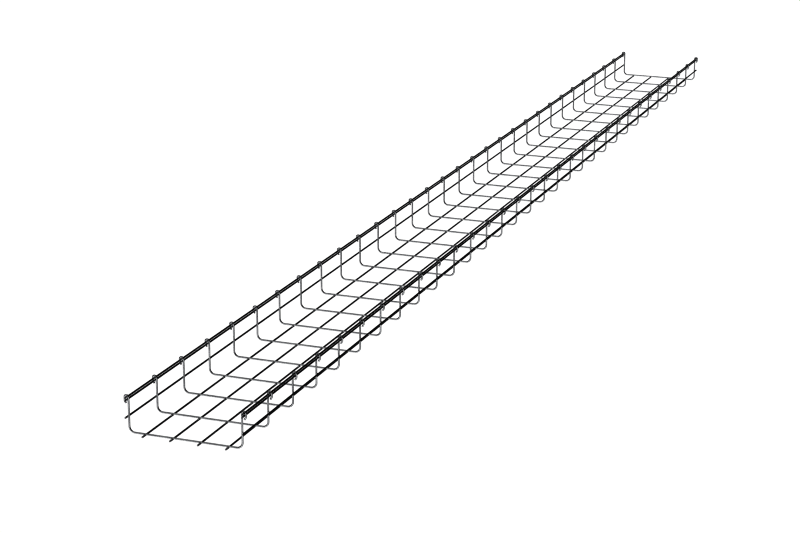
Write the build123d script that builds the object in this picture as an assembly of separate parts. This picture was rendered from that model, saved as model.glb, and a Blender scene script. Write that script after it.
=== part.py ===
from build123d import *
import math
import os

# Wire mesh cable basket: bent cross wires welded on top of straight longitudinal wires.
# X runs along the basket, Z is up, and the origin is on the floor under its middle.

# Driving dimensions, in millimetres and degrees
wire_diameter = 3.2
cell_length = 100.0  # from one cross wire to the next
cell_count = 30
stub_length = 7.5  # how far the longitudinal wires pass the first and last cross wire
inner_width = 200.0  # between the two side walls
overall_height = 70.0  # from the underside to the top of the hooks
floor_wire_spacing = 50.0
floor_wire_count = 4
side_wire_height = 31.0  # from the underside to the middle of the side wire
corner_radius = 10.0  # the bend from floor to wall, at the middle of the wire
rim_gap = 1.3  # between the two stacked rim wires of a wall
hook_play = 0.6  # between a hook's outer leg and the rim wires inside it
hook_drop = 15.5  # from the top of a hook to its cut tip
hook_tuck = 2.5  # how far the tip leans back in under the rim wires

# Facets: the wires have few sides and their bends few flats
wire_sides = 8
corner_flat_count = 4
hook_flat_count = 4

# Places of the wires, each worked out from what it is welded to
longitudinal_length = cell_count * cell_length + 2 * stub_length
floor_wire_z = wire_diameter / 2
run_z = floor_wire_z + wire_diameter
leg_y = inner_width / 2 + wire_diameter / 2
outer_wire_y = leg_y + wire_diameter
hook_y = outer_wire_y + wire_diameter + hook_play
hook_radius = (hook_y - leg_y) / 2
upper_rim_z = overall_height - wire_diameter / 2 - hook_radius
lower_rim_z = upper_rim_z - wire_diameter - rim_gap
tuck_z = lower_rim_z - wire_diameter / 2
tip_z = overall_height - hook_drop


def wire_section(plane):
    """The wire's section: a polygon of the wire's diameter across its flats, one flat to each weld."""
    half_side = 180 / wire_sides
    outline = RegularPolygon(wire_diameter / 2, wire_sides, major_radius=False, rotation=half_side)
    return plane * outline


def bend_points(center_y, center_z, radius, start, turn, flat_count):
    """Corners of a bend that is drawn with a few flats, each tangent to the true arc."""
    step = turn / flat_count
    reach = radius / math.cos(math.radians(step / 2))
    angles = [math.radians(start + (i + 0.5) * step) for i in range(flat_count)]
    return [(center_y + reach * math.cos(a), center_z + reach * math.sin(a)) for a in angles]


def half_cross_wire_points():
    """Corners of a cross wire's middle line from the floor run, up the +Y leg, to the tip of the hook."""
    bend_y = leg_y - corner_radius
    bend_z = run_z + corner_radius
    corner = bend_points(bend_y, bend_z, corner_radius, -90, 90, corner_flat_count)
    hook = bend_points(leg_y + hook_radius, upper_rim_z, hook_radius, 180, -180, hook_flat_count)
    tip = [(hook_y, tuck_z), (hook_y - hook_tuck, tip_z)]
    return corner + hook + tip


def cross_wire(x):
    """One wire bent to a channel: floor run, two legs, and a hook over the rim wires at each end."""
    half = half_cross_wire_points()
    corners = [(-y, z) for y, z in reversed(half)] + half
    points = [Vector(x, y, z) for y, z in corners]
    start = Plane(origin=points[0], x_dir=(1, 0, 0), z_dir=points[1] - points[0])
    return sweep(wire_section(start), Polyline(*points), transition=Transition.RIGHT)


def longitudinal_wire(y, z):
    """One straight wire along the whole basket."""
    start = Plane(origin=(-longitudinal_length / 2, y, z), x_dir=(0, 1, 0), z_dir=(1, 0, 0))
    return extrude(wire_section(start), longitudinal_length)


def all_wires():
    """Every wire of the basket by its name."""
    wires = {}
    for i in range(floor_wire_count):
        y = (i - (floor_wire_count - 1) / 2) * floor_wire_spacing
        wires[f"floor_wire_{i + 1}"] = longitudinal_wire(y, floor_wire_z)
    for side, sign in (("left", 1), ("right", -1)):
        wires[f"side_wire_{side}"] = longitudinal_wire(sign * outer_wire_y, side_wire_height)
        wires[f"lower_rim_wire_{side}"] = longitudinal_wire(sign * outer_wire_y, lower_rim_z)
        wires[f"upper_rim_wire_{side}"] = longitudinal_wire(sign * outer_wire_y, upper_rim_z)
    for i in range(cell_count + 1):
        wires[f"cross_wire_{i + 1:02d}"] = cross_wire((i - cell_count / 2) * cell_length)
    return wires


os.makedirs("parts", exist_ok=True)
for name, wire in all_wires().items():
    export_step(wire, f"parts/{name}.step")
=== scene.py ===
import math
import random

import bmesh
import bpy
from bpy.props import FloatProperty, FloatVectorProperty, IntProperty, PointerProperty
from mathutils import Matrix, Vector


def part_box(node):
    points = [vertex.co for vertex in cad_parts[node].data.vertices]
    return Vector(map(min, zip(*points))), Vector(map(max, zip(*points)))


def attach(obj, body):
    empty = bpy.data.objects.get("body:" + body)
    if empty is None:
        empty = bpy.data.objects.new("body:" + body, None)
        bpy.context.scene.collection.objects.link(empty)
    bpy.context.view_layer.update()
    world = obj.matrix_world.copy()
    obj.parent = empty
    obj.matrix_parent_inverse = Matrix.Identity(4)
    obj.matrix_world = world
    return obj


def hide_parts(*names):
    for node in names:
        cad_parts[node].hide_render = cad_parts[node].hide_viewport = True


bl_info = {
    "name": "Wire Mesh Cable Basket",
    "version": (1, 0, 0),
    "blender": (4, 5, 0),
    "location": "View3D > Sidebar > Basket",
    "description": "Dresses the cable basket's CAD wires as round, welded and zinc plated ones",
    "category": "Add Mesh",
}

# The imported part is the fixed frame, and its boxes give the places of all the wires
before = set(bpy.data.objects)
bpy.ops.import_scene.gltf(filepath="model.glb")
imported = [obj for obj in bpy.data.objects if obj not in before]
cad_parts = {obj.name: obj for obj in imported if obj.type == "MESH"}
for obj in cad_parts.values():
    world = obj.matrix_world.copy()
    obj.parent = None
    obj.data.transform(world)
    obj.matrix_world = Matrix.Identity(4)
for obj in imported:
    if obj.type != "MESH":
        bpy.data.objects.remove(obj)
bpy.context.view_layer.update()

BODY = "root"
SIDES = ("left", "right")
CROSS_NODES = sorted(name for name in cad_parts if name.startswith("cross_wire"))
FLOOR_NODES = sorted(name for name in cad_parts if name.startswith("floor_wire"))
SIDE_NODES = [f"side_wire_{side}" for side in SIDES]
RIM_NODES = [f"{level}_rim_wire_{side}" for side in SIDES for level in ("lower", "upper")]


def node_middle(name):
    """The middle of a CAD node's box."""
    low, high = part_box(name)
    return (low + high) / 2


def node_size(name):
    """The size of a CAD node's box along X, Y and Z."""
    low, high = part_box(name)
    return high - low


WIRE_DIAMETER = node_size(FLOOR_NODES[0]).z
WIRE_RADIUS = WIRE_DIAMETER / 2


# Fineness of the small forms
TUCK_STEPS = 4
BEAD_SEGMENTS = 14
BEAD_RINGS = 8

# Every wire starts at its own place in the noise, in metres, so that wires side by side don't look alike
STRAIGHT_WIRE_SHIFT = 4.0
SHIFT_BY_HEIGHT = 500.0
CROSS_WIRES_START = 40.0
CROSS_WIRE_SHIFT = 0.7

# Plating: the middle range of a noise, and how the noises act on the surface
NOISE_LOW = 0.35
NOISE_HIGH = 0.65
PATCH_SQUEEZE = 0.4  # patches are longer along the wire than around it
GRAINS_PER_METRE = 2200.0
GRAIN_ROUGHNESS = 0.05
LINE_STRENGTH = 0.6

# Parts of the room that the wires mirror: the way to the middle of each one, and the shares of that way
# where it starts and where it is full. Later ones cover earlier ones.
CEILING = ((0.0, 0.41, 0.91), 0.70, 0.88)
GROUND = ((0.0, 0.0, -1.0), 0.08, 0.28)
TABLE = ((-0.80, 0.20, -0.55), 0.77, 0.85)
SCREEN = ((-0.90, 0.33, -0.28), 0.93, 0.98)
WINDOW = ((-0.95, 0.22, 0.20), 0.955, 0.99)
FAR_END = ((1.0, 0.0, 0.0), 0.2, 0.6)

# Brightness of the room where the camera sees it directly
CAMERA_BACKGROUND = 1.0

# The rest of the stage, in metres, and the picture's pixel filter, in pixels
FLOOR_REACH = 40.0
FLOOR_CLOUD_SHADE = 0.97
OVERHEAD_PLACE = (-0.5, 0.6, 3.2)
OVERHEAD_SIZE = (6.0, 3.0)
SENSOR_WIDTH = 36.0  # millimetres
PIXEL_FILTER = 1.2


class BasketWireSettings(bpy.types.PropertyGroup):
    """Shape of the wires, beyond what the CAD boxes give."""

    around: IntProperty(
        name="Sides", description="Faces around a wire", default=20, min=8, max=48
    )
    bend_steps: IntProperty(
        name="Bend Steps", description="Rings along a quarter turn of a bend", default=9, min=3, max=24
    )
    corner_radius: FloatProperty(
        name="Corner Radius",
        description="Bend from floor to wall, at the middle of the wire",
        default=0.010,
        unit="LENGTH",
    )
    hook_drop: FloatProperty(
        name="Hook Drop",
        description="From the top of a hook to its cut tip",
        default=0.0155,
        unit="LENGTH",
    )
    hook_tuck: FloatProperty(
        name="Hook Tuck",
        description="How far a tip leans back in under the rim wires",
        default=0.0025,
        unit="LENGTH",
    )
    tuck_radius: FloatProperty(
        name="Tuck Radius",
        description="Bend where the tip starts to lean in",
        default=0.004,
        unit="LENGTH",
    )
    end_chamfer: FloatProperty(
        name="End Chamfer",
        description="Rounding of the edge of a cut end",
        default=0.0003,
        unit="LENGTH",
    )


class BasketWeldSettings(bpy.types.PropertyGroup):
    """Squeezed out metal where two wires are welded."""

    spread: FloatProperty(
        name="Spread", description="Half width of a weld across the wires", default=0.0020, unit="LENGTH"
    )
    height: FloatProperty(
        name="Height", description="Half height of a weld between the wires", default=0.0009, unit="LENGTH"
    )
    unevenness: FloatProperty(
        name="Unevenness", description="How much the welds differ", default=0.14, subtype="FACTOR"
    )
    seed: IntProperty(name="Seed", description="Seed of the uneven welds", default=7)


class BasketZincSettings(bpy.types.PropertyGroup):
    """Look of the zinc plated wire."""

    bright: FloatVectorProperty(
        name="Bright Zinc",
        description="Colour of the clean plating",
        subtype="COLOR",
        default=(0.66, 0.67, 0.68),
    )
    dull: FloatVectorProperty(
        name="Dull Zinc",
        description="Colour of the duller patches of plating",
        subtype="COLOR",
        default=(0.50, 0.51, 0.525),
    )
    patch_size: FloatProperty(
        name="Patch Size", description="Size of the duller patches", default=0.012, unit="LENGTH"
    )
    line_width: FloatProperty(
        name="Drawn Line Width",
        description="Width of the lines that drawing leaves on wire",
        default=0.0003,
        unit="LENGTH",
    )
    line_length: FloatProperty(
        name="Drawn Line Length", description="Length of the drawn lines", default=0.02, unit="LENGTH"
    )
    line_depth: FloatProperty(
        name="Drawn Line Depth", description="Depth of the drawn lines", default=0.00003, unit="LENGTH"
    )
    smooth_roughness: FloatProperty(
        name="Smooth", description="Roughness where the plating is smooth", default=0.10, subtype="FACTOR"
    )
    dull_roughness: FloatProperty(
        name="Dull", description="Roughness where the plating is dull", default=0.20, subtype="FACTOR"
    )


class BasketStageSettings(bpy.types.PropertyGroup):
    """Floor, light and camera around the basket."""

    floor_colour: FloatVectorProperty(
        name="Floor", description="Colour of the floor", subtype="COLOR", default=(0.3, 0.3, 0.3)
    )
    floor_glow: FloatProperty(
        name="Floor Glow", description="Light of the lit floor itself", default=0.98
    )
    light_power: FloatProperty(
        name="Overhead Light", description="Power of the soft light overhead", default=7.0, unit="POWER"
    )
    ceiling_light: FloatProperty(
        name="Ceiling", description="Brightness of the ceiling overhead", default=0.6
    )
    ground_light: FloatProperty(
        name="Ground", description="Brightness of the ground all around", default=0.5
    )
    table_light: FloatProperty(
        name="Table", description="Brightness of the table at the near end", default=1.9
    )
    window_light: FloatProperty(
        name="Window", description="Brightness of the window beyond the near end", default=1.1
    )
    wall_light: FloatProperty(name="Walls", description="Brightness of the dim walls", default=0.03)
    dark_light: FloatProperty(
        name="Dark", description="Brightness of the screen and of the far end", default=0.02
    )
    contrast: FloatProperty(name="Contrast", description="Gamma of the picture", default=0.6)
    camera_place: FloatVectorProperty(
        name="Camera",
        description="Where the camera stands",
        subtype="XYZ",
        default=(-4.4741, -1.5191, 1.3125),
    )
    camera_heading: FloatProperty(
        name="Heading",
        description="Angle from the basket's cross direction to the view",
        default=math.radians(68.90),
        subtype="ANGLE",
    )
    camera_dip: FloatProperty(
        name="Dip", description="How far the view looks down", default=math.radians(16.98), subtype="ANGLE"
    )
    lens: FloatProperty(name="Lens", description="Focal length", default=99.04, subtype="DISTANCE_CAMERA")


class BasketSettings(bpy.types.PropertyGroup):
    """All that a user would change on the basket."""

    wire: PointerProperty(type=BasketWireSettings)
    weld: PointerProperty(type=BasketWeldSettings)
    zinc: PointerProperty(type=BasketZincSettings)
    stage: PointerProperty(type=BasketStageSettings)


# Materials


def add_node(tree, kind, place, **values):
    """A new node, with the named inputs set."""
    node = tree.nodes.new(kind)
    node.location = place
    for name, value in values.items():
        node.inputs[name].default_value = value
    return node


def stretched(tree, source, scale, place):
    """The wire's own coordinates, scaled along and around the wire."""
    node = tree.nodes.new("ShaderNodeVectorMath")
    node.operation = "MULTIPLY"
    node.location = place
    node.inputs[1].default_value = scale
    tree.links.new(source, node.inputs[0])
    return node.outputs["Vector"]


def ranged(tree, source, low, high, place):
    """A noise value whose middle range is stretched to run from low to high."""
    node = tree.nodes.new("ShaderNodeMapRange")
    node.location = place
    node.inputs["From Min"].default_value = NOISE_LOW
    node.inputs["From Max"].default_value = NOISE_HIGH
    node.inputs["To Min"].default_value = low
    node.inputs["To Max"].default_value = high
    tree.links.new(source, node.inputs["Value"])
    return node.outputs["Result"]


def zinc_material(name, zinc, rougher=0.0, line_share=1.0):
    """Bright zinc plating on drawn wire: duller patches, fine lines along the wire, uneven gloss."""
    material = bpy.data.materials.get(name)
    if material is not None:
        return material
    material = bpy.data.materials.new(name)
    material.use_nodes = True
    tree = material.node_tree
    links = tree.links
    shader = tree.nodes["Principled BSDF"]
    shader.inputs["Metallic"].default_value = 1.0

    along = add_node(tree, "ShaderNodeAttribute", (-1300, 0))
    along.attribute_name = "wire_place"
    place = along.outputs["Vector"]

    patch = 1 / zinc.patch_size
    patches = add_node(tree, "ShaderNodeTexNoise", (-800, 300), Scale=1.0, Detail=4.0, Roughness=0.6)
    patch_scale = (patch * PATCH_SQUEEZE, patch, patch)
    links.new(stretched(tree, place, patch_scale, (-1050, 300)), patches.inputs["Vector"])

    around = 1 / zinc.line_width
    lines = add_node(tree, "ShaderNodeTexNoise", (-800, -300), Scale=1.0, Detail=3.0, Roughness=0.55)
    line_scale = (1 / zinc.line_length, around, around)
    links.new(stretched(tree, place, line_scale, (-1050, -300)), lines.inputs["Vector"])

    grain = add_node(tree, "ShaderNodeTexNoise", (-800, 0), Scale=1.0, Detail=2.0, Roughness=0.5)
    links.new(stretched(tree, place, [GRAINS_PER_METRE] * 3, (-1050, 0)), grain.inputs["Vector"])

    colour = tree.nodes.new("ShaderNodeMix")
    colour.data_type = "RGBA"
    colour.location = (-300, 300)
    colour.inputs["A"].default_value = (*zinc.bright, 1.0)
    colour.inputs["B"].default_value = (*zinc.dull, 1.0)
    links.new(ranged(tree, patches.outputs["Fac"], 0.0, 1.0, (-550, 300)), colour.inputs["Factor"])
    links.new(colour.outputs["Result"], shader.inputs["Base Color"])

    roughness = tree.nodes.new("ShaderNodeMath")
    roughness.operation = "ADD"
    roughness.location = (-300, 0)
    smooth = zinc.smooth_roughness + rougher
    dull = zinc.dull_roughness + rougher
    by_grain = ranged(tree, grain.outputs["Fac"], -GRAIN_ROUGHNESS, GRAIN_ROUGHNESS, (-550, -60))
    links.new(ranged(tree, patches.outputs["Fac"], smooth, dull, (-550, 120)), roughness.inputs[0])
    links.new(by_grain, roughness.inputs[1])
    links.new(roughness.outputs["Value"], shader.inputs["Roughness"])

    strength = LINE_STRENGTH * line_share
    bump = add_node(tree, "ShaderNodeBump", (-300, -300), Strength=strength, Distance=zinc.line_depth)
    links.new(lines.outputs["Fac"], bump.inputs["Height"])
    links.new(bump.outputs["Normal"], shader.inputs["Normal"])
    return material


def wire_zinc(zinc):
    """Plating on the drawn sides of a wire."""
    return zinc_material("plated_wire", zinc)


def cut_zinc(zinc):
    """Plating on a sheared end, rougher and without drawn lines."""
    return zinc_material("plated_cut_end", zinc, rougher=0.16, line_share=0.2)


def weld_zinc(zinc):
    """Plating on squeezed out weld metal."""
    return zinc_material("plated_weld", zinc, rougher=0.10, line_share=0.3)


# Wires


def arc(center_y, center_z, radius, start, turn, steps):
    """Points of an arc in the cross section of the basket."""
    angles = [math.radians(start + turn * i / steps) for i in range(steps + 1)]
    return [Vector((0, center_y + radius * math.cos(a), center_z + radius * math.sin(a))) for a in angles]


def tuck_bend(before, corner, tip, radius, steps):
    """Points of the small bend that rounds the corner where a hook's tip starts to lean in."""
    down = (corner - before).normalized()
    lean = (tip - corner).normalized()
    angle = down.angle(lean)
    reach = radius * math.tan(angle / 2)
    start = corner - down * reach
    inward = (lean - down * down.dot(lean)).normalized()
    center = start + inward * radius
    turns = [angle * i / steps for i in range(steps + 1)]
    return [center - inward * radius * math.cos(t) + down * radius * math.sin(t) for t in turns]


def half_cross_wire_line(wire):
    """Middle line of a cross wire from the floor run, up the left leg, to the tip of the hook."""
    low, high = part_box(CROSS_NODES[0])
    run_z = low.z + WIRE_RADIUS
    hook_y = high.y - WIRE_RADIUS
    rim = node_middle("upper_rim_wire_left")
    leg_y = rim.y - WIRE_DIAMETER
    radius = wire.corner_radius
    corner = arc(leg_y - radius, run_z + radius, radius, -90, 90, wire.bend_steps)
    hook_radius = (hook_y - leg_y) / 2
    hook = arc(leg_y + hook_radius, rim.z, hook_radius, 180, -180, 2 * wire.bend_steps)
    tuck_z = node_middle("lower_rim_wire_left").z - WIRE_RADIUS
    tip = Vector((0, hook_y - wire.hook_tuck, high.z - wire.hook_drop))
    tuck = tuck_bend(hook[-1], Vector((0, hook_y, tuck_z)), tip, wire.tuck_radius, TUCK_STEPS)
    return corner + hook + tuck + [tip]


def cross_wire_line(wire):
    """Middle line of a whole cross wire, from the right hook's tip to the left one's."""
    half = half_cross_wire_line(wire)
    mirrored = [Vector((p.x, -p.y, p.z)) for p in reversed(half)]
    return mirrored + half


def add_ring(bm, layer, center, side, up, radius, along, count):
    """A ring of vertices around the middle line, with each one's place on the straight wire."""
    ring = []
    for i in range(count):
        angle = 2 * math.pi * i / count
        across, over = math.cos(angle), math.sin(angle)
        vertex = bm.verts.new(center + side * (radius * across) + up * (radius * over))
        vertex[layer] = (along, radius * across, radius * over)
        ring.append(vertex)
    return ring


def join_rings(bm, first, second):
    """A smooth band of faces between two rings."""
    count = len(first)
    for i in range(count):
        k = (i + 1) % count
        face = bm.faces.new((first[i], first[k], second[k], second[i]))
        face.smooth = True


def sharpen(bm, ring):
    """A sharp edge all round a ring, so that shading doesn't run across it."""
    for first, second in zip(ring, ring[1:] + ring[:1]):
        bm.edges.get((first, second)).smooth = False


def close_end(bm, end, shoulder):
    """A flat sheared face on the end of a wire. shoulder is the ring where the end's chamfer starts."""
    face = bm.faces.new(end)
    face.material_index = 1
    sharpen(bm, end)
    sharpen(bm, shoulder)


def sweep_wire(name, line, side, wire, start_along):
    """A round wire along a middle line, with chamfered cut ends. side is square to the whole line."""
    bm = bmesh.new()
    layer = bm.verts.layers.float_vector.new("wire_place")
    chamfer = wire.end_chamfer
    first = (line[1] - line[0]).normalized()
    last = (line[-1] - line[-2]).normalized()
    points = [line[0], line[0] + first * chamfer, *line[1:-1], line[-1] - last * chamfer, line[-1]]
    radii = [WIRE_RADIUS] * len(points)
    radii[0] = radii[-1] = WIRE_RADIUS - chamfer
    rings = []
    along = start_along
    for i, point in enumerate(points):
        before = points[max(i - 1, 0)]
        after = points[min(i + 1, len(points) - 1)]
        direction = ((point - before).normalized() + (after - point).normalized()).normalized()
        up = direction.cross(side)
        along += (point - before).length
        rings.append(add_ring(bm, layer, point, side, up, radii[i], along, wire.around))
    for one, other in zip(rings, rings[1:]):
        join_rings(bm, one, other)
    close_end(bm, rings[0], rings[1])
    close_end(bm, rings[-1], rings[-2])
    bmesh.ops.recalc_face_normals(bm, faces=bm.faces)
    mesh = bpy.data.meshes.new(name)
    bm.to_mesh(mesh)
    bm.free()
    return mesh


def place_piece(name, mesh, location, nodes, materials):
    """An object of the basket that stands for the named CAD nodes."""
    for material in materials:
        mesh.materials.append(material)
    piece = bpy.data.objects.new(name, mesh)
    piece.location = location
    bpy.context.scene.collection.objects.link(piece)
    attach(piece, BODY)
    if nodes:
        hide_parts(*nodes)


def make_straight_wires(nodes, settings):
    """A straight wire for each named CAD node."""
    materials = [wire_zinc(settings.zinc), cut_zinc(settings.zinc)]
    for i, node in enumerate(nodes):
        middle = node_middle(node)
        half = Vector((node_size(node).x / 2, 0, 0))
        shift = STRAIGHT_WIRE_SHIFT * i + SHIFT_BY_HEIGHT * middle.z
        mesh = sweep_wire(f"round_{node}", [-half, half], Vector((0, 1, 0)), settings.wire, shift)
        place_piece(f"round_{node}", mesh, middle, [node], materials)


# Welds


def weld_places():
    """Middle and facing of every weld between a cross wire and a wire that runs along the basket."""
    places = []
    run_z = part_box(CROSS_NODES[0])[0].z
    for cross in CROSS_NODES:
        x = node_middle(cross).x
        for node in FLOOR_NODES:
            places.append((Vector((x, node_middle(node).y, run_z)), Vector((0, 0, 1))))
        for node in SIDE_NODES + RIM_NODES:
            middle = node_middle(node)
            inward = -math.copysign(1, middle.y)
            places.append((Vector((x, middle.y + inward * WIRE_RADIUS, middle.z)), Vector((0, inward, 0))))
    return places


def bead_template():
    """Corners and faces of a unit ball, which every weld is pressed from."""
    corners = [Vector((0, 0, 1))]
    for ring in range(1, BEAD_RINGS):
        tilt = math.pi * ring / BEAD_RINGS
        out, up = math.sin(tilt), math.cos(tilt)
        for i in range(BEAD_SEGMENTS):
            turn = math.pi / 2 + 2 * math.pi * i / BEAD_SEGMENTS
            corners.append(Vector((out * math.cos(turn), out * math.sin(turn), up)))
    corners.append(Vector((0, 0, -1)))
    bottom = len(corners) - 1
    faces = []
    for i in range(BEAD_SEGMENTS):
        k = (i + 1) % BEAD_SEGMENTS
        starts = [1 + BEAD_SEGMENTS * ring for ring in range(BEAD_RINGS - 1)]
        faces.append([0, starts[0] + i, starts[0] + k])
        for high, low in zip(starts, starts[1:]):
            faces.append([high + i, low + i, low + k, high + k])
        faces.append([starts[-1] + i, bottom, starts[-1] + k])
    return corners, faces


def weld_corners(template, place, facing, weld, chance):
    """A flat uneven bead of squeezed out metal around the point where two wires touch."""
    along = Vector((1, 0, 0))
    across = facing.cross(along)
    uneven = weld.unevenness
    spread = weld.spread * (1 + uneven * chance.uniform(-0.5, 0.5))
    height = weld.height * (1 + uneven * chance.uniform(-0.5, 0.5))
    phase = chance.uniform(0, 2 * math.pi)
    corners = []
    for p in template:
        angle = math.atan2(p.y, p.x)
        lobes = math.sin(2 * angle + phase) + math.sin(3 * angle - phase)
        wide = spread * (1 + 0.5 * uneven * lobes)
        corners.append(place + along * (p.x * wide) + across * (p.y * wide) + facing * (p.z * height))
    return corners


class BASKET_OT_cross_wires(bpy.types.Operator):
    """Bends the cross wires to a channel with a hook over the rim wires at each end"""

    bl_idname = "basket.cross_wires"
    bl_label = "Make Cross Wires"

    def execute(self, context):
        settings = context.scene.cable_basket
        materials = [wire_zinc(settings.zinc), cut_zinc(settings.zinc)]
        line = cross_wire_line(settings.wire)
        for i, node in enumerate(CROSS_NODES):
            name = f"round_{node}"
            shift = CROSS_WIRES_START + CROSS_WIRE_SHIFT * i
            mesh = sweep_wire(name, line, Vector((1, 0, 0)), settings.wire, shift)
            place_piece(name, mesh, (node_middle(node).x, 0, 0), [node], materials)
        return {"FINISHED"}


class BASKET_OT_floor_wires(bpy.types.Operator):
    """Makes the straight wires under the floor runs"""

    bl_idname = "basket.floor_wires"
    bl_label = "Make Floor Wires"

    def execute(self, context):
        make_straight_wires(FLOOR_NODES, context.scene.cable_basket)
        return {"FINISHED"}


class BASKET_OT_side_wires(bpy.types.Operator):
    """Makes the straight wire outside the legs of each wall"""

    bl_idname = "basket.side_wires"
    bl_label = "Make Side Wires"

    def execute(self, context):
        make_straight_wires(SIDE_NODES, context.scene.cable_basket)
        return {"FINISHED"}


class BASKET_OT_rim_wires(bpy.types.Operator):
    """Makes the two stacked straight wires inside the hooks of each wall"""

    bl_idname = "basket.rim_wires"
    bl_label = "Make Rim Wires"

    def execute(self, context):
        make_straight_wires(RIM_NODES, context.scene.cable_basket)
        return {"FINISHED"}


class BASKET_OT_welds(bpy.types.Operator):
    """Makes the weld metal at every crossing as one mesh"""

    bl_idname = "basket.welds"
    bl_label = "Make Welds"

    def execute(self, context):
        settings = context.scene.cable_basket
        chance = random.Random(settings.weld.seed)
        template, bead_faces = bead_template()
        corners, faces = [], []
        for place, facing in weld_places():
            first = len(corners)
            corners += weld_corners(template, place, facing, settings.weld, chance)
            faces += [[first + i for i in face] for face in bead_faces]
        mesh = bpy.data.meshes.new("weld_beads")
        mesh.from_pydata(corners, [], faces)
        mesh.shade_smooth()
        places = mesh.attributes.new("wire_place", "FLOAT_VECTOR", "POINT")
        places.data.foreach_set("vector", [number for corner in corners for number in corner])
        place_piece("weld_beads", mesh, (0, 0, 0), [], [weld_zinc(settings.zinc)])
        return {"FINISHED"}


# Stage


def floor_material(stage):
    """Pale lit floor, with a faint cloudiness."""
    material = bpy.data.materials.new("pale_floor")
    material.use_nodes = True
    tree = material.node_tree
    shader = tree.nodes["Principled BSDF"]
    shader.inputs["Roughness"].default_value = 0.9
    shader.inputs["Specular IOR Level"].default_value = 0.0
    shader.inputs["Emission Color"].default_value = (1.0, 1.0, 1.0, 1.0)
    shader.inputs["Emission Strength"].default_value = stage.floor_glow
    place = add_node(tree, "ShaderNodeTexCoord", (-900, 0))
    cloud = add_node(tree, "ShaderNodeTexNoise", (-700, 0), Scale=2.0, Detail=2.0)
    tree.links.new(place.outputs["Object"], cloud.inputs["Vector"])
    colour = tree.nodes.new("ShaderNodeMix")
    colour.data_type = "RGBA"
    colour.location = (-300, 0)
    colour.inputs["A"].default_value = (*stage.floor_colour, 1.0)
    colour.inputs["B"].default_value = (*(FLOOR_CLOUD_SHADE * c for c in stage.floor_colour), 1.0)
    tree.links.new(cloud.outputs["Fac"], colour.inputs["Factor"])
    tree.links.new(colour.outputs["Result"], shader.inputs["Base Color"])
    return material


def make_floor(stage):
    """A wide level floor that the wires don't mirror."""
    reach = FLOOR_REACH
    mesh = bpy.data.meshes.new("studio_floor")
    corners = [(-reach, -reach, 0), (reach, -reach, 0), (reach, reach, 0), (-reach, reach, 0)]
    mesh.from_pydata(corners, [], [(0, 1, 2, 3)])
    mesh.materials.append(floor_material(stage))
    floor = bpy.data.objects.new("studio_floor", mesh)
    floor.visible_glossy = False
    bpy.context.scene.collection.objects.link(floor)


def faded(tree, source, start, end, place):
    """A soft step of a value, from 0 before start to 1 after end."""
    node = tree.nodes.new("ShaderNodeMapRange")
    node.interpolation_type = "SMOOTHSTEP"
    node.location = place
    node.inputs["From Min"].default_value = start
    node.inputs["From Max"].default_value = end
    tree.links.new(source, node.inputs["Value"])
    return node.outputs["Result"]


def mixed(tree, factor, first, second, place):
    """A number between first and second, each a number or a socket."""
    node = tree.nodes.new("ShaderNodeMix")
    node.location = place
    tree.links.new(factor, node.inputs["Factor"])
    for name, value in (("A", first), ("B", second)):
        if isinstance(value, float):
            node.inputs[name].default_value = value
        else:
            tree.links.new(value, node.inputs[name])
    return node.outputs["Result"]


def toward_share(tree, source, direction, place):
    """How nearly a direction points along another one, 1 where they are the same."""
    node = tree.nodes.new("ShaderNodeVectorMath")
    node.operation = "DOT_PRODUCT"
    node.location = place
    node.inputs[1].default_value = Vector(direction).normalized()
    tree.links.new(source, node.inputs[0])
    return node.outputs["Value"]


def make_room(stage):
    """The room that the wires mirror: dim walls behind its other parts, and white to the camera itself."""
    world = bpy.data.worlds.new("studio_room")
    bpy.context.scene.world = world
    world.use_nodes = True
    tree = world.node_tree
    toward = add_node(tree, "ShaderNodeTexCoord", (-1100, 0)).outputs["Generated"]
    parts = (
        (CEILING, stage.ceiling_light),
        (GROUND, stage.ground_light),
        (TABLE, stage.table_light),
        (SCREEN, stage.dark_light),
        (WINDOW, stage.window_light),
        (FAR_END, stage.dark_light),
    )
    room = stage.wall_light
    for i, ((direction, start, end), light) in enumerate(parts):
        row = 450 - 300 * i
        share = toward_share(tree, toward, direction, (-900, row))
        mask = faded(tree, share, start, end, (-650, row))
        room = mixed(tree, mask, room, light, (-400 + 150 * i, row))
    seen = add_node(tree, "ShaderNodeLightPath", (300, 450)).outputs["Is Camera Ray"]
    room = mixed(tree, seen, room, CAMERA_BACKGROUND, (600, 0))
    tree.links.new(room, tree.nodes["Background"].inputs["Color"])


def make_light(name, place, aim, size, power):
    """A soft rectangular light that looks at a point."""
    data = bpy.data.lights.new(name, "AREA")
    data.shape = "RECTANGLE"
    data.size, data.size_y = size
    data.energy = power
    light = bpy.data.objects.new(name, data)
    light.location = place
    light.rotation_mode = "QUATERNION"
    light.rotation_quaternion = (Vector(aim) - Vector(place)).to_track_quat("-Z", "Y")
    bpy.context.scene.collection.objects.link(light)


def make_camera(stage):
    """The camera at the photograph's place and angle."""
    data = bpy.data.cameras.new("product_camera")
    data.sensor_width = SENSOR_WIDTH
    data.lens = stage.lens
    camera = bpy.data.objects.new("product_camera", data)
    heading, dip = stage.camera_heading, stage.camera_dip
    level = math.cos(dip)
    view = Vector((math.sin(heading) * level, math.cos(heading) * level, -math.sin(dip)))
    camera.location = stage.camera_place
    camera.rotation_mode = "QUATERNION"
    camera.rotation_quaternion = view.to_track_quat("-Z", "Y")
    bpy.context.scene.collection.objects.link(camera)
    bpy.context.scene.camera = camera


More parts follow.
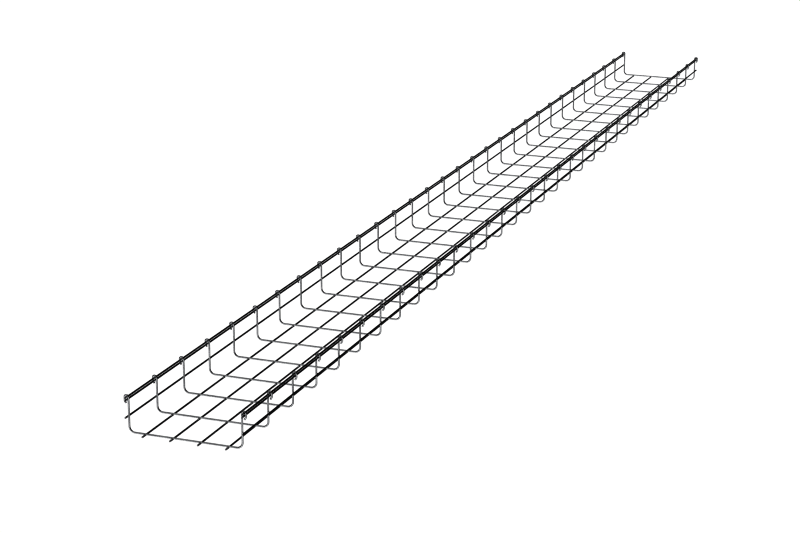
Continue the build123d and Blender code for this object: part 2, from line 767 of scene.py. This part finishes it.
class BASKET_OT_stage(bpy.types.Operator):
    """Sets the floor, the light and the camera"""

    bl_idname = "basket.stage"
    bl_label = "Make Stage"

    def execute(self, context):
        stage = context.scene.cable_basket.stage
        make_floor(stage)
        make_room(stage)
        make_light("overhead_light", OVERHEAD_PLACE, (0, 0, 0), OVERHEAD_SIZE, stage.light_power)
        make_camera(stage)
        context.scene.view_settings.view_transform = "Standard"
        context.scene.view_settings.gamma = stage.contrast
        context.scene.cycles.filter_width = PIXEL_FILTER
        return {"FINISHED"}


class BASKET_PT_basket(bpy.types.Panel):
    """Lists the basket's settings and what makes its pieces"""

    bl_idname = "BASKET_PT_basket"
    bl_label = "Cable Basket"
    bl_space_type = "VIEW_3D"
    bl_region_type = "UI"
    bl_category = "Basket"

    def draw(self, context):
        settings = context.scene.cable_basket
        for title, group in (
            ("Wires", settings.wire),
            ("Welds", settings.weld),
            ("Zinc", settings.zinc),
            ("Stage", settings.stage),
        ):
            box = self.layout.box()
            box.label(text=title)
            for name in group.__annotations__:
                box.prop(group, name)
        for operator in OPERATORS:
            self.layout.operator(operator.bl_idname)


GROUPS = (BasketWireSettings, BasketWeldSettings, BasketZincSettings, BasketStageSettings, BasketSettings)
OPERATORS = (
    BASKET_OT_stage,
    BASKET_OT_floor_wires,
    BASKET_OT_side_wires,
    BASKET_OT_rim_wires,
    BASKET_OT_cross_wires,
    BASKET_OT_welds,
)
CLASSES = (*GROUPS, *OPERATORS, BASKET_PT_basket)


def register():
    """Adds the settings, the operators and the panel to Blender."""
    for item in CLASSES:
        bpy.utils.register_class(item)
    bpy.types.Scene.cable_basket = PointerProperty(type=BasketSettings)


def unregister():
    """Takes them out of Blender again."""
    del bpy.types.Scene.cable_basket
    for item in reversed(CLASSES):
        bpy.utils.unregister_class(item)


def main():
    """Makes the stage and every piece."""
    register()
    bpy.ops.basket.stage()
    bpy.ops.basket.floor_wires()
    bpy.ops.basket.side_wires()
    bpy.ops.basket.rim_wires()
    bpy.ops.basket.cross_wires()
    bpy.ops.basket.welds()


if __name__ == "__main__":
    main()
